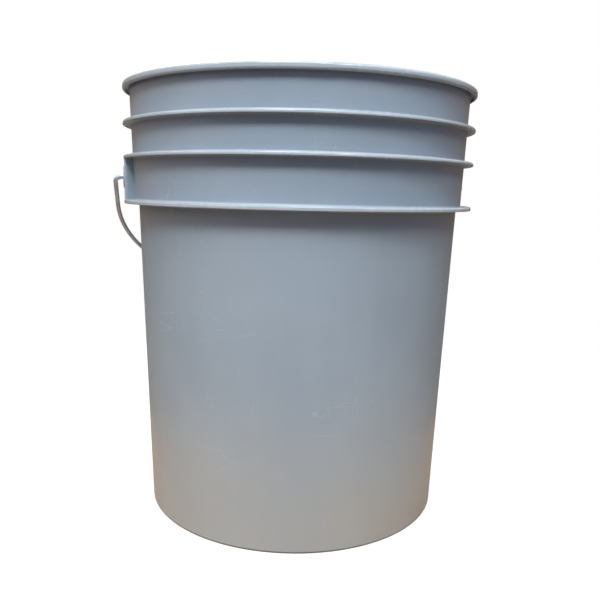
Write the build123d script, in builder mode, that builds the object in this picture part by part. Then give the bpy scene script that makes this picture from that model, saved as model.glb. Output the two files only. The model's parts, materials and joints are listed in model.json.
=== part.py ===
from build123d import *
import math
import os

# An open-head plastic pail with a wire bail and a loose grip.
# Millimetres, +Z up. The origin is the centre of the foot, on the ground.
# The ears are on the X axis. At rest the bail hangs down the +Y side.

# Pail shell
height = 365.0
wall = 2.3
draft = 0.0353  # growth of radius per unit of height, about 2 degrees
base_radius = 130.7  # outside, at the ground
neck_radius = 147.0  # outside of the neck wall, at the rim
floor_thickness = 2.5
floor_recess = 5.0  # the floor's underside stands this far above the ground
foot_width = 4.0
foot_round, foot_inner_round = 1.8, 0.6
recess_round = 1.5  # where the foot meets the floor's underside
floor_round = 4.0  # inside, where the wall meets the floor

# Rim, which turns outwards and down over an open groove
rim_radius = 152.5
rim_top_thickness = 2.5
rim_drop = 5.6
rim_lip = 2.4
rim_round, rim_inner_round = 2.4, 1.4
lip_round, lip_inner_round = 1.9, 0.3
groove_round = 1.2

# Stiffening rings around the neck: height of the middle, radius and thickness
ring_low, ring_low_radius, ring_low_thickness = 267.9, 152.4, 3.4
ring_mid, ring_mid_radius, ring_mid_thickness = 304.8, 152.5, 2.8
ring_high, ring_high_radius, ring_high_thickness = 332.7, 152.75, 2.8
ring_edge_round, ring_under_round = 1.5, 0.5
ring_root_round = 1.2
shelf_rise = 9.0  # height of the slope inside, where the neck narrows
shelf_round = 3.0

# Underside
gusset_count = 24
gusset_thickness, gusset_length, gusset_drop = 1.8, 12.0, 3.5
gusset_overlap = 1.0  # how far a gusset runs into the foot
centre_pad_radius, centre_pad_drop = 22.0, 1.2
gate_radius, gate_drop = 3.5, 2.4

# Ears, between the low and the middle ring
ear_height = 288.5  # the bail's axis
ear_width = 28.0
ear_face_radius = 152.1
ear_pad = 3.3  # thickness of the pad that holds the wire
ear_root = 142.7  # the ear's block starts here, inside the neck's wall
ear_round = 1.5
boss_radius, boss_face, boss_round = 9.5, 152.8, 0.5
pocket_width, pocket_roof = 21.0, 297.5
pocket_back_radius = 144.8
pivot_hole_radius = 2.05

# Bail wire, from the ears to the grip
wire_radius = 1.9
leg_offset = 159.9  # from the pail's axis to the leg's centre line
eye_bend_radius = 6.8
leg_length = 42.0
bow_radius, bow_angle = 160.0, 60.0
shoulder_radius = 40.0  # turns what is left of the right angle
head_inner, head_outer, head_radius, head_round = 145.8, 147.9, 3.1, 0.6

# Grip, a cored moulding of discs and webs on a tube
grip_length = 110.0
grip_radius, grip_end_radius = 14.0, 12.6
grip_tube_radius, grip_bore_radius = 5.6, 2.3
disc_count, disc_thickness = 12, 2.2
disc_round = 0.7
web_count, web_thickness, web_inset = 6, 1.8, 1.6
grip_clearance = 0.5  # between the resting grip and the wall

os.makedirs("parts", exist_ok=True)


def body_radius(z):
    """Outside radius of the tapered body, below the low ring."""
    return base_radius + draft * z


def neck_wall_radius(z):
    """Outside radius of the wider neck, from the low ring to the rim."""
    return neck_radius - draft * (height - z)


def ring_corners(middle, radius, thickness, inner_below):
    """Outline corners around one ring, upwards, each with its corner radius."""
    bottom, top = middle - thickness / 2, middle + thickness / 2
    return [
        (inner_below(bottom), bottom, ring_root_round),
        (radius, bottom, ring_under_round),
        (radius, top, ring_edge_round),
        (neck_wall_radius(top), top, ring_root_round),
    ]


# Section of the shell, anticlockwise from the foot's inner edge
floor_top = floor_recess + floor_thickness
lip_bottom = height - rim_drop
rim_underside = height - rim_top_thickness
shelf_bottom = ring_low - shelf_rise / 2
shelf_top = ring_low + shelf_rise / 2
shell_corners = [
    (base_radius - foot_width, 0, foot_inner_round),
    (base_radius, 0, foot_round),
    *ring_corners(ring_low, ring_low_radius, ring_low_thickness, body_radius),
    *ring_corners(ring_mid, ring_mid_radius, ring_mid_thickness, neck_wall_radius),
    *ring_corners(ring_high, ring_high_radius, ring_high_thickness, neck_wall_radius),
    (neck_wall_radius(rim_underside), rim_underside, groove_round),
    (rim_radius - rim_lip, rim_underside, groove_round),
    (rim_radius - rim_lip, lip_bottom, lip_inner_round),
    (rim_radius, lip_bottom, lip_round),
    (rim_radius, height, rim_round),
    (neck_radius - wall, height, rim_inner_round),
    (neck_wall_radius(shelf_top) - wall, shelf_top, shelf_round),
    (body_radius(shelf_bottom) - wall, shelf_bottom, shelf_round),
    (body_radius(floor_top) - wall, floor_top, floor_round),
    (0, floor_top, 0),
    (0, floor_recess, 0),
    (base_radius - foot_width, floor_recess, recess_round),
]

# One ear, which fills the space between the low and the middle ring
with BuildPart() as ear:
    with BuildSketch(Plane.XY.offset(ring_low)):
        with Locations((ear_root, 0)):
            Rectangle(ear_face_radius - ear_root, ear_width, align=(Align.MIN, Align.CENTER))
        Circle(ear_face_radius, mode=Mode.INTERSECT)
    extrude(amount=ring_mid - ring_low)
    fillet(ear.edges().filter_by(Axis.Z).group_by(Axis.X)[-1], ear_round)
    with BuildSketch(Plane.YZ.offset(ear_face_radius - ear_pad)):
        with Locations((0, ear_height)):
            Circle(boss_radius)
    extrude(amount=boss_face - ear_face_radius + ear_pad)
    fillet(ear.edges().filter_by(GeomType.CIRCLE).sort_by(Axis.X)[-1], boss_round)

# The pocket behind the ear's pad, open downwards, and the hole for the wire
with BuildPart() as ear_pocket:
    with BuildSketch(Plane.XY.offset(ring_low - ring_low_thickness)):
        Circle(ear_face_radius - ear_pad)
        Circle(pocket_back_radius, mode=Mode.SUBTRACT)
        with Locations((pocket_back_radius, 0)):
            Rectangle(ear_face_radius - ear_root, pocket_width, mode=Mode.INTERSECT)
    extrude(amount=pocket_roof - ring_low + ring_low_thickness)
    with BuildSketch(Plane.YZ.offset(pocket_back_radius)):
        with Locations((0, ear_height)):
            Circle(pivot_hole_radius)
    extrude(amount=rim_radius - pocket_back_radius + boss_round)

with BuildPart() as pail_body:
    with BuildSketch(Plane.XZ):
        with BuildLine():
            FilletPolyline(
                *[(r, z) for r, z, _ in shell_corners],
                radius=[corner for _, _, corner in shell_corners],
                close=True,
            )
        make_face()
    revolve(axis=Axis.Z)
    # Short gussets tie the foot to the floor's underside
    with BuildSketch(Plane.XY.offset(floor_recess)):
        gusset_middle = base_radius - foot_width + gusset_overlap - gusset_length / 2
        with PolarLocations(gusset_middle, gusset_count):
            Rectangle(gusset_length, gusset_thickness)
    extrude(amount=-gusset_drop)
    # A thick spot under the middle of the floor, with the stub of the moulding gate
    with BuildSketch(Plane.XY.offset(floor_recess)):
        Circle(centre_pad_radius)
    extrude(amount=-centre_pad_drop)
    with BuildSketch(Plane.XY.offset(floor_recess)):
        Circle(gate_radius)
    extrude(amount=-gate_drop)
    with PolarLocations(0, 2):
        add(ear.part)
    with PolarLocations(0, 2):
        add(ear_pocket.part, mode=Mode.SUBTRACT)
pail_body.part.label = "pail_body"
export_step(pail_body.part, "parts/pail_body.step")

# The bail's reach from its axis to the grip's centre line
shoulder_angle = 90 - bow_angle
bow_turn = math.radians(bow_angle)
bail_reach = (
    leg_length
    + bow_radius * math.sin(bow_turn)
    + shoulder_radius * (1 - math.sin(bow_turn))
)

# The bail hangs until the grip lies against the wall. At the angle hang below level, the
# grip is at radius reach * cos(hang) and height ear_height - reach * sin(hang), and this
# is the angle at which that radius is the wall's own plus the grip's and the clearance.
stand_off = body_radius(ear_height) + grip_radius + grip_clearance
hang = math.acos(stand_off / math.hypot(1, draft) / bail_reach) + math.atan(draft)
bail_plane = Plane(
    origin=(0, 0, ear_height), x_dir=(1, 0, 0), z_dir=(0, math.sin(hang), math.cos(hang))
)

# The wire end is headed inside the pocket so that it can't pull out
with BuildPart() as wire_head:
    with BuildSketch(Plane.YZ.offset(head_inner)):
        with Locations((0, ear_height)):
            Circle(head_radius)
    extrude(amount=head_outer - head_inner)
    fillet(wire_head.edges().filter_by(GeomType.CIRCLE), head_round)

with BuildPart() as bail_wire:
    with BuildLine(bail_plane):
        stub = Line((head_outer - head_round, 0), (leg_offset - eye_bend_radius, 0))
        eye_bend = JernArc(stub @ 1, stub % 1, eye_bend_radius, 90)
        leg = Line(eye_bend @ 1, (leg_offset, leg_length))
        bow = JernArc(leg @ 1, leg % 1, bow_radius, bow_angle)
        shoulder = JernArc(bow @ 1, bow % 1, shoulder_radius, shoulder_angle)
        Line(shoulder @ 1, (0, bail_reach))
        mirror(about=Plane.YZ)
    with BuildSketch(Plane.YZ.offset(head_outer - head_round)):
        with Locations((0, ear_height)):
            Circle(wire_radius)
    sweep()
    with PolarLocations(0, 2):
        add(wire_head.part)
bail_wire.part.label = "bail_wire"
export_step(bail_wire.part, "parts/bail_wire.step")

# The grip's own plane: local x runs along the wire, local y is a radius
grip_centre = bail_plane.from_local_coords((0, bail_reach, 0))
grip_plane = Plane(origin=grip_centre, x_dir=(1, 0, 0), z_dir=(0, -1, 0))
disc_pitch = (grip_length - disc_thickness) / (disc_count - 1)
barrel_drop = grip_radius - grip_end_radius

with BuildPart() as bail_grip:
    with BuildSketch(grip_plane) as grip_section:
        for i in range(disc_count):
            along = (i - (disc_count - 1) / 2) * disc_pitch
            edge = grip_radius - barrel_drop * (2 * along / grip_length) ** 2
            with Locations((along, 0)):
                Rectangle(disc_thickness, edge, align=(Align.CENTER, Align.MIN))
        disc_corners = grip_section.vertices().filter_by_position(
            Axis.Y, grip_tube_radius, grip_radius
        )
        fillet(disc_corners, disc_round)
        Rectangle(grip_length, grip_tube_radius, align=(Align.CENTER, Align.MIN))
        Rectangle(
            grip_length, grip_bore_radius, align=(Align.CENTER, Align.MIN), mode=Mode.SUBTRACT
        )
    revolve(axis=Axis(grip_centre, (1, 0, 0)))
    web_top = grip_end_radius - web_inset
    web_foot = (grip_bore_radius + grip_tube_radius) / 2
    web_plane = Plane(
        origin=grip_centre - (grip_length / 2 - disc_thickness / 2, 0, 0),
        x_dir=(0, 1, 0),
        z_dir=(1, 0, 0),
    )
    with BuildSketch(web_plane):
        with PolarLocations((web_top + web_foot) / 2, web_count):
            Rectangle(web_top - web_foot, web_thickness)
    extrude(amount=grip_length - disc_thickness)
bail_grip.part.label = "bail_grip"
export_step(bail_grip.part, "parts/bail_grip.step")
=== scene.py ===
import json
import math
import bpy
from mathutils import Matrix, Vector


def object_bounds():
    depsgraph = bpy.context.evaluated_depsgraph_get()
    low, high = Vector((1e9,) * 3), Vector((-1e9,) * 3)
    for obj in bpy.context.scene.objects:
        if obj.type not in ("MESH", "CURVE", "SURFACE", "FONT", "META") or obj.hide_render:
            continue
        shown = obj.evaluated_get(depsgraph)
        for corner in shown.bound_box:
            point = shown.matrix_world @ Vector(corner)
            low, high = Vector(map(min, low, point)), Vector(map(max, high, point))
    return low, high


# An open-head pail with a wire bail and a loose grip. Metres and degrees.
# Every shape is a CAD node. This script gives them materials, light and a camera.

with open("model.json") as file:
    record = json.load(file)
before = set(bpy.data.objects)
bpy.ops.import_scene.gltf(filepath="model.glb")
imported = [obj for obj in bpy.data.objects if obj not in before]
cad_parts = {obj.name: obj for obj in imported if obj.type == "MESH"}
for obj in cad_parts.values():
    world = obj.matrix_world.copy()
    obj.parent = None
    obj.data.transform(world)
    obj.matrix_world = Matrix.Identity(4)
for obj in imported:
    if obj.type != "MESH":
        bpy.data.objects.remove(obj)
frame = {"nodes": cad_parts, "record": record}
cad_lo, cad_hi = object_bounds()
nodes = frame["nodes"]
record = frame["record"]
scene = bpy.context.scene
middle = (cad_lo + cad_hi) / 2
joints = {joint["name"]: joint for joint in record["behaviour"]["joints"]}
grip_centre = Vector(joints["grip_spin"]["pos_m"])

# Camera: its place round the pail's axis and above the floor
CAMERA_DISTANCE, CAMERA_HEIGHT = 0.6092, 0.279
CAMERA_AZIMUTH, CAMERA_AIM = -11.7, -0.38
CAMERA_PITCH, CAMERA_ROLL = 9.25, 1.33
CAMERA_LENS, SENSOR = 39.8, 36.0

# Lights: azimuth (0 is in front of the pail, + is to its right), elevation, distance,
# size, power and colour
LIGHTS = {
    "window": (-28, 50, 4.0, 1.0, 84, (0.95, 1.02, 1.02)),
    "window_near": (10, 46, 4.0, 1.0, 42, (1.00, 1.02, 0.94)),
    "overhead": (-12, 57, 2.0, 1.1, 18, (0.98, 1.01, 1.03)),
    "left": (-80, 32, 4.0, 2.2, 34, (1.08, 0.97, 0.86)),
    "back": (180, 34, 3.0, 1.4, 42, (0.97, 1.0, 1.04)),
}
# The faint light from all round: cool from in front of the pail, warm from behind it, and
# brighter straight overhead
AROUND_FRONT, AROUND_BEHIND = (0.22, 0.26, 0.38), (0.27, 0.165, 0.09)
AROUND_ABOVE = (1.2, 1.25, 1.3)
# What the floor gives back to the pail, by its foot and further out: the light that it spreads,
# and the colour that it shows in the pail's gloss
BOUNCE_NEAR, BOUNCE_FAR = (0.56, 0.365, 0.19), (0.058, 0.058, 0.062)
MIRRORED_NEAR, MIRRORED_FAR = (0.50, 0.35, 0.21), (0.15, 0.15, 0.14)


class Tree:
    """The node tree of a material or a world, with a short call for each kind of node."""

    def __init__(self, owner, coordinates="Object"):
        owner.use_nodes = True
        self.owner = owner
        self.nodes = owner.node_tree.nodes
        self.links = owner.node_tree.links
        self.place = self.node("ShaderNodeTexCoord").outputs[coordinates]
        self.x, self.y, self.z = self.node("ShaderNodeSeparateXYZ", self.place).outputs

    def node(self, kind, *inputs, **settings):
        made = self.nodes.new(kind)
        for key, value in settings.items():
            setattr(made, key, value)
        for socket, value in zip(made.inputs, inputs):
            self.put(socket, value)
        return made

    def put(self, socket, value):
        if isinstance(value, bpy.types.NodeSocket):
            self.links.new(value, socket)
        elif value is not None:
            socket.default_value = value

    def math(self, operation, a, b=None, c=None):
        return self.node("ShaderNodeMath", a, b, c, operation=operation).outputs[0]

    def stretched(self, x, y, z):
        """The object's coordinates, scaled along each axis."""
        return self.node(
            "ShaderNodeVectorMath", self.place, (x, y, z), operation="MULTIPLY"
        ).outputs[0]

    def noise(self, scale, detail=2.0, roughness=0.5, at=None):
        """A noise of about 0.25 to 0.75, with features of about 1 / scale."""
        made = self.node("ShaderNodeTexNoise")
        self.put(made.inputs["Vector"], at or self.place)
        made.inputs["Scale"].default_value = scale
        made.inputs["Detail"].default_value = detail
        made.inputs["Roughness"].default_value = roughness
        return made.outputs["Fac"]

    def span(self, value, start, end, low=0.0, high=1.0):
        """low where value is at start, high where it is at end, smooth in between."""
        made = self.node("ShaderNodeMapRange", interpolation_type="SMOOTHSTEP")
        for name, each in (
            ("Value", value), ("From Min", start), ("From Max", end),
            ("To Min", low), ("To Max", high),
        ):
            self.put(made.inputs[name], each)
        return made.outputs["Result"]

    def lines(self, at, scale, width):
        """Thin lines where a stretched noise crosses its middle value."""
        off = self.math("ABSOLUTE", self.math("SUBTRACT", self.noise(scale, 1.0, at=at), 0.5))
        return self.span(off, 0.0, width, 1.0, 0.0)

    def mix(self, factor, a, b, blend="MIX"):
        made = self.node("ShaderNodeMix", data_type="RGBA", blend_type=blend)
        self.put(made.inputs["Factor"], factor)
        for name, value in (("A", a), ("B", b)):
            socket = next(s for s in made.inputs if s.name == name and s.type == "RGBA")
            self.put(socket, (*value, 1) if isinstance(value, tuple) else value)
        return next(s for s in made.outputs if s.type == "RGBA")

    def bump(self, height, distance, below=None):
        made = self.node("ShaderNodeBump")
        self.put(made.inputs["Height"], height)
        self.put(made.inputs["Distance"], distance)
        self.put(made.inputs["Normal"], below)
        return made.outputs["Normal"]

    def show(self, output, surface):
        self.put(self.nodes[output].inputs["Surface"], surface.outputs[0])

    def finish(self, **inputs):
        """Set the Principled BSDF's inputs, named with _ for a space."""
        shader = self.nodes["Principled BSDF"]
        for name, value in inputs.items():
            self.put(shader.inputs[name.replace("_", " ")], value)
        return self.owner


def new_material(name):
    return Tree(bpy.data.materials.new(name))


PLASTIC = (0.288, 0.342, 0.403)
PLASTIC_PALE_AND_HIGHLIGHT = (0.50, 0.53, 0.55)  # where it is scuffed, and as a painted highlight along the rings' and rim's edges
PLASTIC_DEEP = (0.264, 0.315, 0.375)
# Dust colour, warm also as a painted bounce from the floor
DUST_AND_WARM_BOUNCE = (0.335, 0.318, 0.288)
# Colour of the painted contact shadow under the foot
FOOT_CONTACT_SHADE = (0.07, 0.07, 0.065)


def moulded_plastic(t, edge_wear, polished_and_highlit=0.0):
    """Colour, roughness and normal of satin blue-grey polyethylene. edge_wear and rubbed
    are masks: of the edges that are scuffed, and of those that stacking has polished."""
    # Slow clouds in the pigment, and faint streaks where the melt ran up the wall
    clouds = t.noise(9.0, 3.0)
    streaks = t.noise(1.0, 4.0, 0.6, at=t.stretched(70, 70, 5))
    specks = t.noise(900.0, 1.0)
    tone = t.math("ADD", t.math("MULTIPLY", clouds, 0.8), t.math("MULTIPLY", streaks, 0.2))
    colour = t.mix(t.span(tone, 0.38, 0.62), PLASTIC_DEEP, PLASTIC)
    colour = t.mix(t.span(specks, 0.62, 0.75, 0.0, 0.10), colour, PLASTIC_PALE_AND_HIGHLIGHT)
    # Fine scratches from stacking and sliding, in patches
    patches = t.span(t.noise(14.0, 2.0), 0.5, 0.66)
    scratches = t.math("MAXIMUM",
        t.lines(t.stretched(6, 6, 120), 1.0, 0.006),
        t.lines(t.stretched(90, 90, 25), 1.0, 0.005),
    )
    scratches = t.math("MULTIPLY", scratches, patches)
    # Scuffed edges: broken up, and whiter than the wall
    wear = t.math("MULTIPLY", edge_wear, t.span(t.noise(420.0, 4.0, 0.65), 0.56, 0.76))
    marks = t.math("MAXIMUM", t.math("MULTIPLY", scratches, 0.35), t.math("MULTIPLY", wear, 0.4))
    colour = t.mix(marks, colour, PLASTIC_PALE_AND_HIGHLIGHT)
    roughness = t.span(t.noise(40.0, 3.0), 0.3, 0.7, 0.33, 0.42)
    roughness = t.math("ADD", roughness, t.math("MULTIPLY", marks, 0.22))
    roughness = t.math("SUBTRACT", roughness, t.math("MULTIPLY", polished_and_highlit, 0.16))
    # Height: the mould's own grain and turning marks, sink in the wall, and the scratches
    normal = t.bump(t.noise(16.0, 2.0), 0.0008)
    normal = t.bump(t.noise(1.0, 2.0, at=t.stretched(4, 4, 900)), 0.00004, normal)
    grain = t.math("MULTIPLY", t.noise(1500.0, 2.0), t.math("SUBTRACT", 1.0, polished_and_highlit))
    normal = t.bump(grain, 0.00006, normal)
    normal = t.bump(t.math("SUBTRACT", 1.0, marks), 0.00004, normal)
    return colour, roughness, normal


def pail_material():
    t = new_material("pail_plastic")
    radius = t.math("SQRT", t.math("ADD", t.math("POWER", t.x, 2.0), t.math("POWER", t.y, 2.0)))
    # The rings' and the rim's edges stand out furthest
    ring_edges = t.span(radius, 0.1510, 0.1527)
    rim_top = t.span(t.z, cad_hi.z - 0.0012, cad_hi.z)
    wear = t.math("MAXIMUM", ring_edges, rim_top)
    # Band along the rings' outer edges and the rim's face: made glossier where stacking polishes
    # it, and also painted paler as a highlight
    polished_and_highlit = t.math("MAXIMUM",
        t.span(radius, 0.1495, 0.1508), t.span(t.z, cad_hi.z - 0.006, cad_hi.z - 0.003)
    )
    colour, roughness, normal = moulded_plastic(t, wear, polished_and_highlit)
    # Painted highlight: that band is mixed towards the pale colour
    colour = t.mix(t.math("MULTIPLY", polished_and_highlit, 0.42), colour, PLASTIC_PALE_AND_HIGHLIGHT)
    # Dust lies low on the wall and fades upwards; its warm tint is partly a painted warm bounce of
    # light from the floor
    dust_and_warm_bounce = t.span(t.z, 0.17, 0.0)
    dust_and_warm_bounce = t.math("MULTIPLY", dust_and_warm_bounce, t.span(t.noise(22.0, 4.0, 0.6), 0.3, 0.7, 0.25, 0.55))
    colour = t.mix(dust_and_warm_bounce, colour, DUST_AND_WARM_BOUNCE)
    roughness = t.math("ADD", roughness, t.math("MULTIPLY", dust_and_warm_bounce, 0.2))
    # Painted shadow: a thin dark line where the foot meets the ground
    colour = t.mix(t.span(t.z, 0.0024, 0.0013, 0.0, 0.85), colour, FOOT_CONTACT_SHADE)
    return t.finish(Base_Color=colour, Roughness=roughness, Normal=normal, IOR=1.5)


def grip_material():
    t = new_material("grip_plastic")
    y = t.math("SUBTRACT", t.y, grip_centre.y)
    z = t.math("SUBTRACT", t.z, grip_centre.z)
    radius = t.math("SQRT", t.math("ADD", t.math("POWER", y, 2.0), t.math("POWER", z, 2.0)))
    colour, roughness, normal = moulded_plastic(t, t.span(radius, 0.0118, 0.0136))
    # Painted shade: the grip is a little darker down between the discs
    recess_shade = t.span(radius, 0.0122, 0.0070, 0.0, 0.5)
    colour = t.mix(recess_shade, colour, (0.15, 0.16, 0.17))
    return t.finish(Base_Color=colour, Roughness=roughness, Normal=normal)


ZINC = (0.56, 0.65, 0.78)
ZINC_DULL = (0.38, 0.45, 0.55)
ZINC_WHITE = (0.58, 0.62, 0.66)
STAIN = (0.22, 0.16, 0.11)


def wire_material():
    """Galvanised wire: a dull spangle, drawing lines, white bloom and a few brown specks."""
    t = new_material("bail_steel")
    cells = t.node("ShaderNodeTexVoronoi")
    t.put(cells.inputs["Vector"], t.place)
    cells.inputs["Scale"].default_value = 420.0
    spangle = t.math("FRACT", t.math("MULTIPLY", cells.outputs["Distance"], 3.0))
    tone = t.math("ADD",
        t.math("MULTIPLY", t.noise(60.0, 4.0, 0.6), 0.75), t.math("MULTIPLY", spangle, 0.25)
    )
    colour = t.mix(t.span(tone, 0.30, 0.62), ZINC_DULL, ZINC)
    bloom = t.span(t.noise(130.0, 5.0, 0.7), 0.56, 0.70)
    colour = t.mix(t.math("MULTIPLY", bloom, 0.5), colour, ZINC_WHITE)
    specks = t.span(t.noise(480.0, 2.0), 0.66, 0.74)
    colour = t.mix(t.math("MULTIPLY", specks, 0.6), colour, STAIN)
    roughness = t.span(t.noise(90.0, 3.0), 0.3, 0.7, 0.26, 0.42)
    roughness = t.math("ADD", roughness, t.math("MULTIPLY", bloom, 0.2))
    normal = t.bump(t.noise(1.0, 2.0, at=t.stretched(2600, 500, 500)), 0.00005)
    normal = t.bump(t.noise(220.0, 3.0), 0.0001, normal)
    metallic = t.span(bloom, 0.0, 1.0, 0.50, 0.30)
    return t.finish(Base_Color=colour, Roughness=roughness, Normal=normal, Metallic=metallic)


def dress(node, material):
    obj = nodes[node]
    obj.data.materials.clear()
    obj.data.materials.append(material)


def make_camera():
    data = bpy.data.cameras.new("camera")
    data.lens, data.sensor_width = CAMERA_LENS, SENSOR
    data.clip_start, data.clip_end = 0.01, 50
    camera = bpy.data.objects.new("camera", data)
    scene.collection.objects.link(camera)
    turn = math.radians(CAMERA_AZIMUTH)
    place = Vector((math.sin(turn), -math.cos(turn), 0)) * CAMERA_DISTANCE
    place.z = CAMERA_HEIGHT
    camera.matrix_world = (
        Matrix.Translation(place)
        @ Matrix.Rotation(math.radians(CAMERA_AZIMUTH + CAMERA_AIM), 4, "Z")
        @ Matrix.Rotation(math.radians(90 - CAMERA_PITCH), 4, "X")
        @ Matrix.Rotation(math.radians(CAMERA_ROLL), 4, "Z")
    )
    scene.camera = camera


def make_light(name, azimuth, elevation, distance, size, power, colour):
    """A square area light that faces the pail's middle."""
    data = bpy.data.lights.new(name, "AREA")
    data.size, data.energy, data.color = size, power, colour
    light = bpy.data.objects.new(name, data)
    scene.collection.objects.link(light)
    a, e = math.radians(azimuth), math.radians(elevation)
    out = Vector((math.sin(a) * math.cos(e), -math.cos(a) * math.cos(e), math.sin(e)))
    light.location = middle + out * distance
    light.rotation_mode = "QUATERNION"
    light.rotation_quaternion = out.to_track_quat("Z", "Y")


def make_world():
    """White behind the pail, and only a faint light from all round."""
    scene.world = bpy.data.worlds.new("studio")
    t = Tree(scene.world, "Generated")
    t.nodes.remove(t.nodes["Background"])
    colour = t.mix(t.span(t.y, -0.45, 0.25), AROUND_FRONT, AROUND_BEHIND)
    colour = t.mix(t.span(t.z, 0.68, 0.90), colour, AROUND_ABOVE)
    seen = t.node("ShaderNodeBackground", (1, 1, 1, 1))
    around = t.node("ShaderNodeBackground", colour)
    to_camera = t.node("ShaderNodeLightPath").outputs["Is Camera Ray"]
    t.show(
        "World Output",
        t.node("ShaderNodeMixShader", to_camera, around.outputs[0], seen.outputs[0]),
    )


def make_floor():
    """A pale sweep: it takes a soft shadow near the pail, fades to white further out, and
    gives back less light than it shows, as a floor in a larger dim room does."""
    half = 3.0
    data = bpy.data.meshes.new("floor")
    corners = [(-half, -half, 0), (half, -half, 0), (half, half, 0), (-half, half, 0)]
    data.from_pydata(corners, [], [(0, 1, 2, 3)])
    floor = bpy.data.objects.new("floor", data)
    scene.collection.objects.link(floor)
    t = new_material("floor")
    t.nodes.remove(t.nodes["Principled BSDF"])
    reach = t.node("ShaderNodeVectorMath", t.place, operation="LENGTH").outputs["Value"]
    path = t.node("ShaderNodeLightPath").outputs
    white = t.node("ShaderNodeEmission", (1, 1, 1, 1), 1.0)
    glow = t.node("ShaderNodeEmission", (1, 1, 1, 1), 0.72)
    lit = t.node("ShaderNodeBsdfDiffuse", (0.32, 0.32, 0.32, 1))
    pale = t.node("ShaderNodeAddShader", glow.outputs[0], lit.outputs[0])
    seen = t.node("ShaderNodeMixShader", t.span(reach, 0.2, 0.9), pale.outputs[0], white.outputs[0])
    spread = t.mix(t.span(reach, 0.22, 0.60), BOUNCE_NEAR, BOUNCE_FAR)
    mirrored = t.mix(t.span(reach, 0.22, 0.36), MIRRORED_NEAR, MIRRORED_FAR)
    given = t.node("ShaderNodeBsdfDiffuse", t.mix(path["Is Glossy Ray"], spread, mirrored))
    t.show(
        "Material Output",
        t.node("ShaderNodeMixShader", path["Is Camera Ray"], given.outputs[0], seen.outputs[0]),
    )
    data.materials.append(t.owner)


scene.view_settings.view_transform = "Standard"
make_camera()
make_floor()
make_world()
for name, settings in LIGHTS.items():
    make_light(name, *settings)

dress("pail_body", pail_material())
dress("bail_wire", wire_material())
dress("bail_grip", grip_material())
